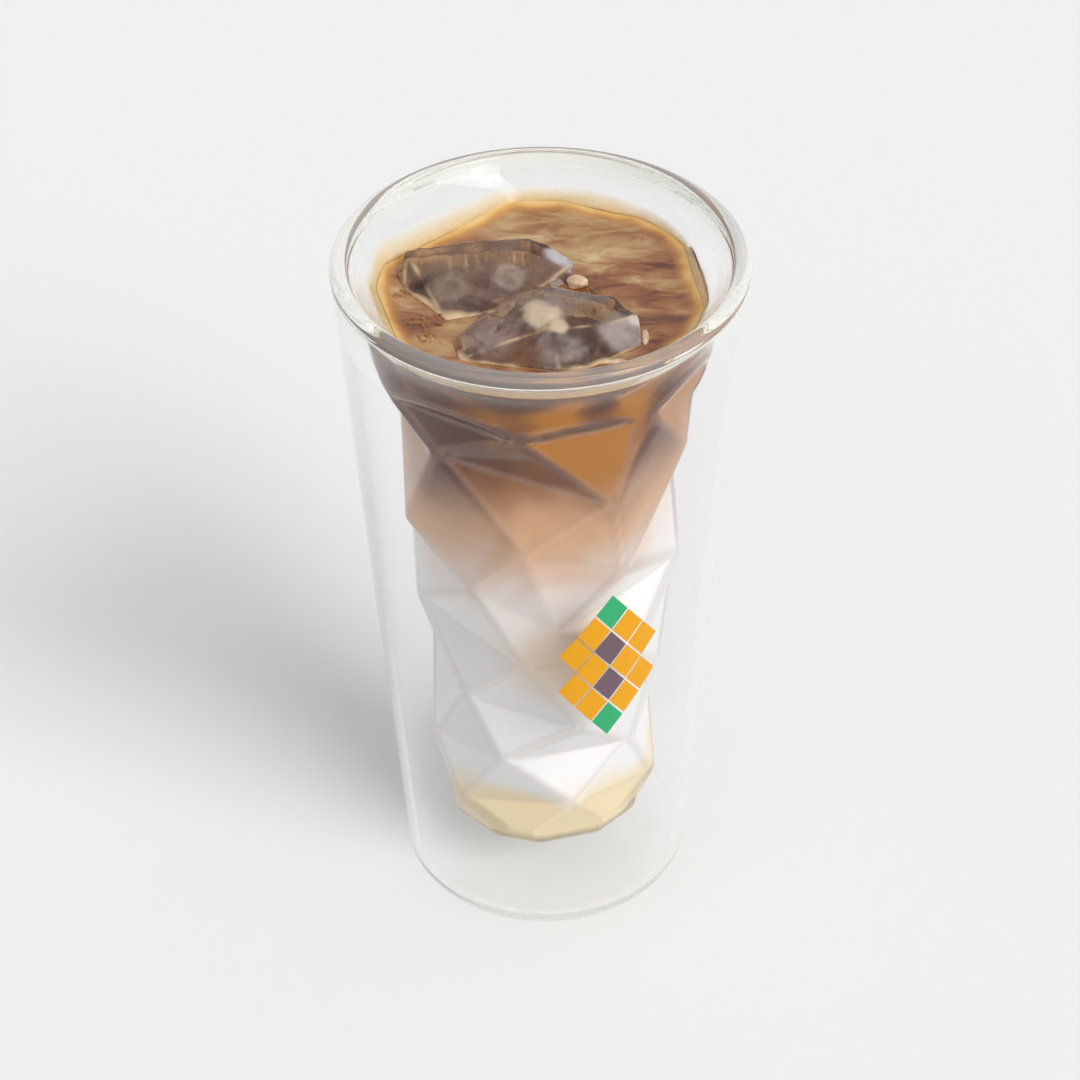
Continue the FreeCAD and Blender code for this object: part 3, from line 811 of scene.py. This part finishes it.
class COFFEE_OT_drink(bpy.types.Operator):
    """Fill the vessel: layered drink, climbing at the wall and pressed down under the ice"""
    bl_idname = "coffee.drink"
    bl_label = "Drink"

    def execute(self, context):
        settings = context.scene.coffee_drink
        glass = context.scene.coffee_glass
        walls = COFFEE_OT_glass.walls
        trees = ice_cover()
        start_foot = int(np.searchsorted(walls.rows, walls.cavity_floor + glass.foot_round))
        foot = rounded_foot(walls.cavity[start_foot] + settings.reach, walls.cavity_floor - settings.reach,
                            glass.foot_round)
        side = foot[::-1]
        edge_level = FILL + settings.meniscus
        for row in range(start_foot, len(walls.rows)):
            if walls.rows[row] < FILL - 0.3 * MM:
                side.append(ring(walls.cavity[row] + settings.reach, walls.rows[row]))
        brim = 4
        for level in np.linspace(FILL, edge_level, brim):
            side.append(ring(walls.cavity_at(level) + settings.reach, level))
        rim = walls.cavity_at(edge_level) + settings.reach
        # Rings lie closer together where the drink climbs the wall.
        gaps = [0.12, 0.3, 0.55, 0.85, 1.2, 1.65, 2.2, 2.8]
        gaps = np.array(gaps + list(np.arange(3.4, rim.min() / MM - 0.4, 0.6))) * MM
        surface, under = [], {}
        for gap in gaps:
            radii = rim * (1 - gap / rim.min())
            from_wall = rim - radii
            climb = settings.meniscus * np.exp(-from_wall / settings.meniscus_width)
            heights = FILL + climb
            for column in range(AROUND):
                x, y = radii[column] * CIRCLE[column].x, radii[column] * CIRCLE[column].y
                wave = noise.noise(Vector((x, y, 0)) / MM * 0.12)
                heights[column] += settings.ripple * wave
                if covered(trees, x, y, 0.9 * MM) == 1.0:
                    heights[column] = FILL - settings.pocket
                    under[1 + AROUND * (len(side) + len(surface)) + column] = 1.0
            surface.append(ring(radii, heights))
        rings = side + surface
        points, faces = lathe(rings, walls.cavity_floor - settings.reach, FILL)
        piece = mesh_object("drink", points, faces, [milky_drink(), coffee_surface()])
        walled = AROUND * len(side)
        piece.data.polygons.foreach_set("material_index", [int(face >= walled) for face in range(len(faces))])
        # Distance from the wall in units of 10 mm, for the golden rim.
        across = np.hypot(points[:, 0], points[:, 1])
        columns = (np.arange(len(points)) - 1) % AROUND
        point_attribute(piece, "edge", np.clip((rim[columns] - across) / (10 * MM), 0, 1))
        # The under attribute marks the drink pressed down under the ice, where the surface is painted dark as
        # shade.
        point_attribute(piece, "under", [under.get(index, 0.0) for index in range(len(points))])
        # Painted shade: each facet's tone comes from its facing, darker where it faces down, with a random
        # offset by facing.
        facet_shade = []
        for vertex in piece.data.vertices:
            lean = noise.noise(vertex.normal * 3.3 + Vector((2.0, 5.0, 0.0)))
            facet_shade.append(min(1.0, max(0.0, 0.5 + 0.75 * lean - 0.5 * vertex.normal.z)))
        point_attribute(piece, "facet_shade", facet_shade)
        # Painted highlight: the ridge measure marks where the glass's ridges are drawn pale on the drink.
        ridge_highlight = np.zeros(len(points))
        first = 1 + AROUND * len(foot)
        count = AROUND * (len(side) - len(foot) - brim)
        ridge_highlight[first:first + count] = walls.ridge_highlight[start_foot:].ravel()[:count]
        point_attribute(piece, "ridge_highlight", np.clip(ridge_highlight / RIDGE_RISE, 0, 1))
        finish_piece(piece, "coffee", "coffee", "blend", "milk", "syrup")
        return {"FINISHED"}


TIDE_LIFTS = 40  # levels at which the wall behind the film is read


class COFFEE_OT_tide(bpy.types.Operator):
    """Leave a thin ring of milky film on the flare above the drink"""
    bl_idname = "coffee.tide"
    bl_label = "Tide film"

    def execute(self, context):
        settings = context.scene.coffee_drink
        walls = COFFEE_OT_glass.walls
        low = FILL + settings.meniscus - 0.35 * MM
        tall = []
        for direction in CIRCLE:
            wave = noise.noise(direction * 1.3) + 0.5 * noise.noise(direction * 4.0 + Vector((0, 0, 3)))
            front = max(0.0, -direction.y) ** 2
            tall.append(settings.tide * (0.95 + 0.5 * wave - 0.15 * direction.x + 0.9 * front))
        tall = np.array(tall)
        # The wall's radii are read at even lifts, and each column of film looks its own up between them.
        highest = 2.2 * settings.tide
        table = np.array([walls.cavity_at(low + lift) for lift in np.linspace(0, highest, TIDE_LIFTS)])
        each = np.arange(AROUND)
        rows, thick = [], []
        for step in np.linspace(0, 1, 9):
            place = tall * step / highest * (TIDE_LIFTS - 1)
            down = np.clip(place.astype(int), 0, TIDE_LIFTS - 2)
            part = place - down
            rows.append((table[down, each] * (1 - part) + table[down + 1, each] * part, low + tall * step))
            thick.append((1 - step) ** 0.8)
        near, off = 0.03 * MM, 0.12 * MM
        rings = [ring(r - near, z) for r, z in rows] + [ring(r - off, z) for r, z in rows[::-1]]
        count = len(rings)
        after = [(c + 1) % AROUND for c in range(AROUND)]
        faces = []
        for row in range(count):
            base, above = row * AROUND, (row + 1) % count * AROUND
            faces += [(base + c, base + after[c], above + after[c], above + c) for c in range(AROUND)]
        piece = mesh_object("tide_film", np.concatenate(rings), faces, [tide_film()])
        point_attribute(piece, "thick", np.repeat(thick + thick[::-1], AROUND))
        finish_piece(piece, "coffee")
        return {"FINISHED"}


# Lumps of cream: across, away, above the drink, then half sizes, in millimetres
LUMPS = [
    (6.9, 3.2, 0.35, 2.1, 1.5, 1.5), (-6.5, -2.6, 0.1, 2.8, 0.8, 0.5), (13.0, -22.3, -0.1, 3.6, 0.8, 0.55),
    (19.4, -14.5, -0.1, 0.8, 2.6, 0.6), (-9.8, -6.9, 0.0, 1.6, 0.6, 0.4),
]


class COFFEE_OT_foam(bpy.types.Operator):
    """Float lumps of cream on the coffee and against the ice"""
    bl_idname = "coffee.foam"
    bl_label = "Cream lumps"

    def execute(self, context):
        lumps = bmesh.new()
        for x, y, rise, wide, deep, high in LUMPS:
            made = bmesh.ops.create_icosphere(lumps, subdivisions=4, radius=1.0)["verts"]
            for vertex in made:
                swell = 1 + 0.22 * noise.noise(vertex.co * 1.4 + Vector((x, y, 0)))
                vertex.co = Vector((x + wide * swell * vertex.co.x, y + deep * swell * vertex.co.y,
                                    FILL / MM + rise + high * swell * vertex.co.z)) * MM
        mesh = bpy.data.meshes.new("cream_lumps")
        lumps.to_mesh(mesh)
        lumps.free()
        mesh.materials.append(milk_foam())
        mesh.polygons.foreach_set("use_smooth", [True] * len(mesh.polygons))
        finish_piece(placed("cream_lumps", mesh), "coffee")
        return {"FINISHED"}


def node_group(name, inputs):
    """A geometry node group with its sockets; returns it with its input and output nodes."""
    group = bpy.data.node_groups.new(name, "GeometryNodeTree")
    group.interface.new_socket("Geometry", in_out="OUTPUT", socket_type="NodeSocketGeometry")
    group.interface.new_socket("Geometry", in_out="INPUT", socket_type="NodeSocketGeometry")
    for label, kind in inputs.items():
        group.interface.new_socket(label, in_out="INPUT", socket_type="NodeSocket" + kind)
    return group, add(group, "NodeGroupInput"), add(group, "NodeGroupOutput")


def run_group(piece, group, values):
    """Put the group on a piece with its inputs set, and keep the mesh that it makes."""
    modifier = piece.modifiers.new(group.name, "NODES")
    modifier.node_group = group
    for item in group.interface.items_tree:
        if item.in_out == "INPUT" and item.name in values:
            modifier[item.identifier] = values[item.name]
    return plain_mesh(piece)


def bubble_group():
    """Geometry nodes: bubbles of several sizes scattered over the faces given."""
    group, given, result = node_group("bubbles", {
        "Count": "Int", "Smallest": "Float", "Largest": "Float", "Seed": "Int", "Material": "Material"})
    area = add(group, "GeometryNodeInputMeshFaceArea")
    total = add(group, "GeometryNodeAttributeStatistic", {"Geometry": given.outputs["Geometry"]},
                domain="FACE")
    group.links.new(area.outputs["Area"], total.inputs["Attribute"])
    density = add(group, "ShaderNodeMath", {0: given.outputs["Count"], 1: total.outputs["Sum"]},
                  operation="DIVIDE")
    points = add(group, "GeometryNodeDistributePointsOnFaces", {
        "Mesh": given.outputs["Geometry"], "Density": density.outputs[0], "Seed": given.outputs["Seed"]})
    ball = add(group, "GeometryNodeMeshIcoSphere", {"Radius": 1.0, "Subdivisions": 3})
    soft = add(group, "GeometryNodeSetShadeSmooth", {"Geometry": ball.outputs["Mesh"]})
    size = add(group, "FunctionNodeRandomValue", {
        2: given.outputs["Smallest"], 3: given.outputs["Largest"], "Seed": given.outputs["Seed"]},
        data_type="FLOAT")
    many = add(group, "GeometryNodeInstanceOnPoints", {
        "Points": points.outputs["Points"], "Instance": soft.outputs[0], "Scale": size.outputs[1]})
    real = add(group, "GeometryNodeRealizeInstances", {"Geometry": many.outputs["Instances"]})
    done = add(group, "GeometryNodeSetMaterial", {
        "Geometry": real.outputs["Geometry"], "Material": given.outputs["Material"]})
    group.links.new(done.outputs["Geometry"], result.inputs["Geometry"])
    return group


PATCH_CORNERS = 16
# Where bubbles gather: across, away, and radius of the patch, in millimetres
BUBBLE_PATCHES = [(-21.5, -9.0, 4.5), (-7.5, -26.0, 3.0), (-21.0, -14.0, 3.0), (9.0, 0.5, 2.2),
                  (22.0, -14.0, 2.4), (-9.0, -10.0, 2.6), (-27.0, 0.0, 2.2)]


class COFFEE_OT_bubbles(bpy.types.Operator):
    """Scatter small bubbles in patches on the coffee"""
    bl_idname = "coffee.bubbles"
    bl_label = "Bubbles"

    def execute(self, context):
        settings = context.scene.coffee_drink
        chance = random.Random(12)
        points, faces = [], []
        for x, y, radius in BUBBLE_PATCHES:
            first = len(points)
            for step in range(PATCH_CORNERS):
                reach = radius * chance.uniform(0.45, 1.0)
                turn = 2 * math.pi * step / PATCH_CORNERS
                points.append(((x + reach * math.cos(turn)) * MM, (y + reach * math.sin(turn)) * MM,
                               FILL + 0.05 * MM))
            faces.append(tuple(range(first, first + PATCH_CORNERS)))
        piece = mesh_object("bubbles", points, faces, [])
        run_group(piece, bubble_group(), {
            "Count": settings.bubbles, "Smallest": 0.1 * MM, "Largest": 0.42 * MM, "Seed": 4,
            "Material": bubble_skin()})
        finish_piece(piece, "coffee")
        return {"FINISHED"}


def wrap_group():
    """Geometry nodes: a thin diamond on each point of a flat plan, wrapped onto the conical skin.

    The plan's X is the distance round the skin and its Z the height.
    """
    group, given, result = node_group("harlequin", {
        "Width": "Float", "Height": "Float", "Thickness": "Float", "Heading": "Float", "Foot Radius": "Float",
        "Slope": "Float", "Material": "Material"})
    side = math.sqrt(0.5)  # of a square whose diagonal is 1
    tile = add(group, "GeometryNodeMeshGrid", {"Size X": side, "Size Y": side, "Vertices X": 9,
                                               "Vertices Y": 9})
    block = add(group, "GeometryNodeExtrudeMesh", {"Mesh": tile.outputs["Mesh"], "Offset Scale": 1.0,
                                                   "Individual": False}, mode="FACES")
    back = add(group, "GeometryNodeFlipFaces", {"Mesh": tile.outputs["Mesh"]})
    both = add(group, "GeometryNodeJoinGeometry")
    group.links.new(block.outputs["Mesh"], both.inputs[0])
    group.links.new(back.outputs["Mesh"], both.inputs[0])
    closed = add(group, "GeometryNodeMergeByDistance", {"Geometry": both.outputs[0], "Distance": 0.0001})
    turned = add(group, "GeometryNodeTransform", {"Geometry": closed.outputs[0],
                                                  "Rotation": (0.0, 0.0, math.pi / 4)})
    upright = add(group, "GeometryNodeTransform", {"Geometry": turned.outputs[0],
                                                   "Rotation": (math.pi / 2, 0.0, 0.0)})
    scale = add(group, "ShaderNodeCombineXYZ", {"X": given.outputs["Width"], "Y": given.outputs["Thickness"],
                                                "Z": given.outputs["Height"]})
    points = add(group, "GeometryNodeMeshToPoints", {"Mesh": given.outputs["Geometry"]})
    many = add(group, "GeometryNodeInstanceOnPoints", {
        "Points": points.outputs["Points"], "Instance": upright.outputs[0], "Scale": scale.outputs[0]})
    real = add(group, "GeometryNodeRealizeInstances", {"Geometry": many.outputs["Instances"]})
    plan = add(group, "GeometryNodeInputPosition").outputs[0]
    place = add(group, "ShaderNodeSeparateXYZ", {"Vector": plan})
    skin = add(group, "ShaderNodeMath", {0: place.outputs["Z"], 1: given.outputs["Slope"],
                                         2: given.outputs["Foot Radius"]}, operation="MULTIPLY_ADD")
    proud = add(group, "ShaderNodeMath", {0: skin.outputs[0], 1: place.outputs["Y"]}, operation="SUBTRACT")
    arc = add(group, "ShaderNodeMath", {0: place.outputs["X"], 1: skin.outputs[0]}, operation="DIVIDE")
    turn = add(group, "ShaderNodeMath", {0: arc.outputs[0], 1: given.outputs["Heading"]}, operation="ADD")
    across = add(group, "ShaderNodeMath", {0: turn.outputs[0]}, operation="COSINE")
    away = add(group, "ShaderNodeMath", {0: turn.outputs[0]}, operation="SINE")
    x = add(group, "ShaderNodeMath", {0: proud.outputs[0], 1: across.outputs[0]}, operation="MULTIPLY")
    y = add(group, "ShaderNodeMath", {0: proud.outputs[0], 1: away.outputs[0]}, operation="MULTIPLY")
    spot = add(group, "ShaderNodeCombineXYZ", {"X": x.outputs[0], "Y": y.outputs[0], "Z": place.outputs["Z"]})
    wrapped = add(group, "GeometryNodeSetPosition", {"Geometry": real.outputs["Geometry"],
                                                     "Position": spot.outputs[0]})
    done = add(group, "GeometryNodeSetMaterial", {
        "Geometry": wrapped.outputs["Geometry"], "Material": given.outputs["Material"]})
    group.links.new(done.outputs["Geometry"], result.inputs["Geometry"])
    return group


# The print's rows of diamonds from the top: A amber, G green, P plum
HARLEQUIN = ["G", "AA", "APA", "AA", "APA", "AA", "G"]


class COFFEE_OT_enamel(bpy.types.Operator):
    """Print a small harlequin of enamel diamonds on the skin"""
    bl_idname = "coffee.enamel"
    bl_label = "Enamel print"

    def execute(self, context):
        settings = context.scene.coffee_enamel
        walls = COFFEE_OT_glass.walls
        slope, foot = np.polyfit(walls.skin_rows[10:], walls.skin[10:], 1)
        group = wrap_group()
        for letter, shade in (("A", "amber"), ("G", "green"), ("P", "plum")):
            centres = []
            for row, tiles in enumerate(HARLEQUIN):
                for column, tile in enumerate(tiles):
                    if tile == letter:
                        across = column - (len(tiles) - 1) / 2
                        up = ((len(HARLEQUIN) - 1) / 2 - row) / 2
                        centres.append((across * settings.tile_width, 0.0,
                                        settings.level + up * settings.tile_height))
            piece = mesh_object("enamel_" + shade, centres, [], [])
            # A little bare glass is left between the diamonds.
            run_group(piece, group, {
                "Width": 0.93 * settings.tile_width, "Height": 0.93 * settings.tile_height,
                "Thickness": settings.thickness, "Heading": settings.heading, "Foot Radius": float(foot),
                "Slope": float(slope), "Material": enamel("enamel_" + shade, getattr(settings, shade))})
            finish_piece(piece, "enamel")
        return {"FINISHED"}


# The camera stands above and in front, and looks a little past the glass's middle.
CAMERA_PLACE = (0.0, -522.7, 498.2)      # millimetres
CAMERA_TURN = (51.387, 0.480, -0.313)    # degrees about X, Y and Z
CAMERA_LENS = 110.67

KEY_PLACE = (0.74, -0.67, 0.86)          # metres; a sun, so only its direction counts
# Lamps that only show as glints, so that they cast no second shadow: place in metres, size, power in watts
GLINTS = {
    "window": ((0.62, -0.72, 0.95), 0.16, 1.3),
    "softbox": ((-0.1, 0.65, 1.15), 1.1, 1.9),
}
BACKDROP = 0.95   # brightness of the surroundings where they are seen, mirrored or looked through to


def lamp(name, kind, place, **settings):
    """A lamp at place that looks at the middle of the glass."""
    data = bpy.data.lights.new(name, kind)
    for key, value in settings.items():
        setattr(data, key, value)
    holder = placed(name, data)
    holder.location = place
    holder.rotation_euler = (Vector((0, 0, TOP / 2)) - Vector(place)).to_track_quat("-Z", "Y").to_euler()
    return holder


class COFFEE_OT_stage(bpy.types.Operator):
    """Set the pale floor, the soft studio light and the camera"""
    bl_idname = "coffee.stage"
    bl_label = "Stage"

    def execute(self, context):
        settings = context.scene.coffee_stage
        half = 6.0
        corners = [(-half, -half, 0), (half, -half, 0), (half, half, 0), (-half, half, 0)]
        floor = mesh_object("floor", corners, [(0, 1, 2, 3)], [matt_card()], smooth=False)

        world = bpy.data.worlds.new("studio")
        context.scene.world = world
        world.use_nodes = True
        tree = world.node_tree
        tree.nodes.clear()
        path = add(tree, "ShaderNodeLightPath").outputs
        seen = add(tree, "ShaderNodeMath", {0: path["Is Camera Ray"], 1: path["Is Glossy Ray"]},
                   operation="MAXIMUM")
        seen = add(tree, "ShaderNodeMath", {0: seen.outputs[0], 1: path["Is Transmission Ray"]},
                   operation="MAXIMUM")
        strength = add(tree, "ShaderNodeMapRange", {"Value": seen.outputs[0], "To Min": settings.sky,
                                                    "To Max": BACKDROP})
        light = add(tree, "ShaderNodeBackground", {"Color": (1, 1, 1),
                                                   "Strength": strength.outputs["Result"]})
        add(tree, "ShaderNodeOutputWorld", {"Surface": light.outputs[0]})

        lamp("key", "SUN", KEY_PLACE, energy=settings.key, angle=settings.key_angle)
        for name, (place, size, energy) in GLINTS.items():
            glint = lamp(name, "AREA", place, shape="DISK", energy=energy, size=size)
            glint.visible_diffuse = False
            glint.visible_transmission = False

        camera = bpy.data.cameras.new("camera")
        camera.lens = CAMERA_LENS
        camera.sensor_width = 36.0
        camera.clip_start = 0.01
        holder = placed("camera", camera)
        holder.location = Vector(CAMERA_PLACE) * MM
        holder.rotation_euler = [math.radians(angle) for angle in CAMERA_TURN]
        context.scene.camera = holder
        context.scene.view_settings.view_transform = "Standard"
        return {"FINISHED"}


class COFFEE_PT_panel(bpy.types.Panel):
    """Lists the tumbler's pieces in the order in which they are made"""
    bl_idname = "COFFEE_PT_panel"
    bl_label = "Iced Coffee"
    bl_space_type = "VIEW_3D"
    bl_region_type = "UI"
    bl_category = "Iced Coffee"

    def draw(self, context):
        for operator in OPERATORS:
            self.layout.operator(operator.bl_idname)


OPERATORS = (COFFEE_OT_glass, COFFEE_OT_ice, COFFEE_OT_drink, COFFEE_OT_tide, COFFEE_OT_foam,
             COFFEE_OT_bubbles, COFFEE_OT_enamel, COFFEE_OT_stage)
SETTINGS = {
    "coffee_glass": GlassSettings,
    "coffee_drink": DrinkSettings,
    "coffee_ice": IceSettings,
    "coffee_enamel": EnamelSettings,
    "coffee_stage": StageSettings,
}


def register():
    """Register the settings, the operators and the panel."""
    for name, kind in SETTINGS.items():
        bpy.utils.register_class(kind)
        setattr(bpy.types.Scene, name, PointerProperty(type=kind))
    for kind in (*OPERATORS, COFFEE_PT_panel):
        bpy.utils.register_class(kind)


def unregister():
    """Undo register."""
    for kind in (COFFEE_PT_panel, *OPERATORS[::-1]):
        bpy.utils.unregister_class(kind)
    for name, kind in SETTINGS.items():
        delattr(bpy.types.Scene, name)
        bpy.utils.unregister_class(kind)


def main():
    """Make every piece in order."""
    register()
    bpy.ops.coffee.glass()
    bpy.ops.coffee.ice()
    bpy.ops.coffee.drink()
    bpy.ops.coffee.tide()
    bpy.ops.coffee.foam()
    bpy.ops.coffee.bubbles()
    bpy.ops.coffee.enamel()
    bpy.ops.coffee.stage()


if __name__ == "__main__":
    main()
